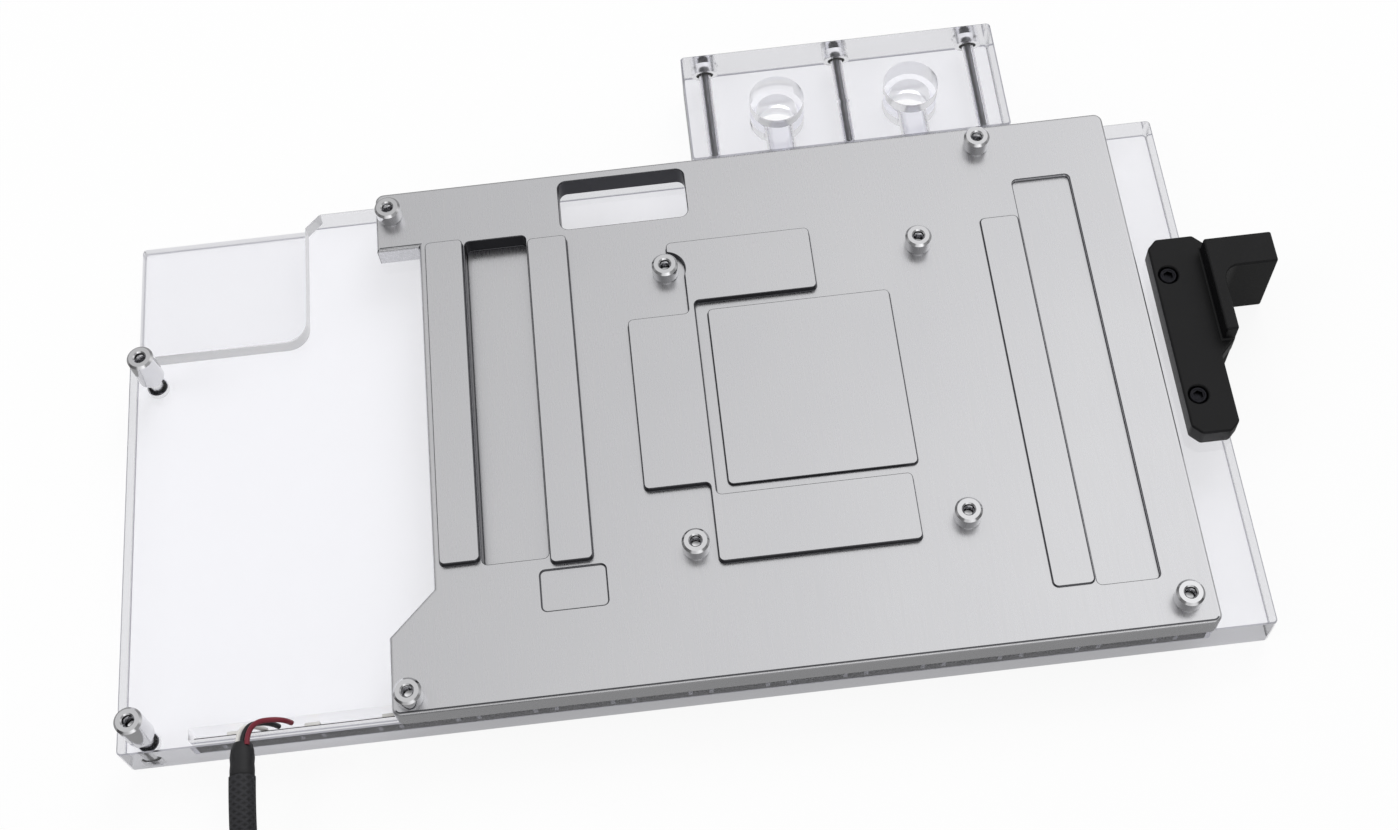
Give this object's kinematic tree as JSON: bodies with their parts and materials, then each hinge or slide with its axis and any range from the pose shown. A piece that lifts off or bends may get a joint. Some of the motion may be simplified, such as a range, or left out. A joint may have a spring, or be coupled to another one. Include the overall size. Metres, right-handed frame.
{
  "type": "graphics card cooling block",
  "caption": "Full-cover liquid cooling block for a graphics card: plated metal plate on a clear cover, with a clear port terminal, a support bracket and an edge light strip.",
  "frame": {"origin": "on the cover's resting face, straight under the centre of the core pad", "axes": "+X along the block towards the bracket, +Y towards the port terminal, +Z out of the contact side"},
  "size_m": [0.2636, 0.2627, 0.02],
  "materials": {
    "plated_metal": "satin nickel plating on copper",
    "clear_acrylic": "polished clear acrylic",
    "seal_rubber": "matt",
    "spring_steel": "rolled stainless sheet",
    "bright_nickel": "bright nickel plating on brass",
    "black_steel": "black oxide",
    "black_plastic": "fine matt moulding",
    "strip_board": "black solder mask",
    "chip_plastic": "moulded light chip",
    "white_insulation": "soft plastic insulation",
    "black_insulation": "soft plastic insulation",
    "red_insulation": "soft plastic insulation",
    "shrink_tube": "shrunk tube",
    "lead_sleeve": "matt round jacket",
    "tinned_brass": "tinned contact"
  },
  "bodies": {
    "root": {"cold_plate": "plated_metal", "clear_cover": "clear_acrylic", "main_seal": "seal_rubber", "jet_plate": "spring_steel", "port_seal_left": "seal_rubber", "port_seal_right": "seal_rubber", "port_terminal": "clear_acrylic", "core_stand_offs": "bright_nickel", "plate_stand_offs": "bright_nickel", "cover_stand_offs": "bright_nickel", "cover_screws": "black_steel", "stand_off_screws": "black_steel", "terminal_screws": "black_steel", "bracket_screws": "black_steel", "support_bracket": "black_plastic", "light_board": "strip_board", "light_chips": "chip_plastic", "white_wire": "white_insulation", "black_wire": "black_insulation", "red_wire": "red_insulation", "shrink_sleeve": "shrink_tube", "light_lead": "lead_sleeve", "light_lead_coil": "lead_sleeve", "connector_housing": "black_plastic", "connector_contacts": "tinned_brass"}
  },
  "joints": []
}
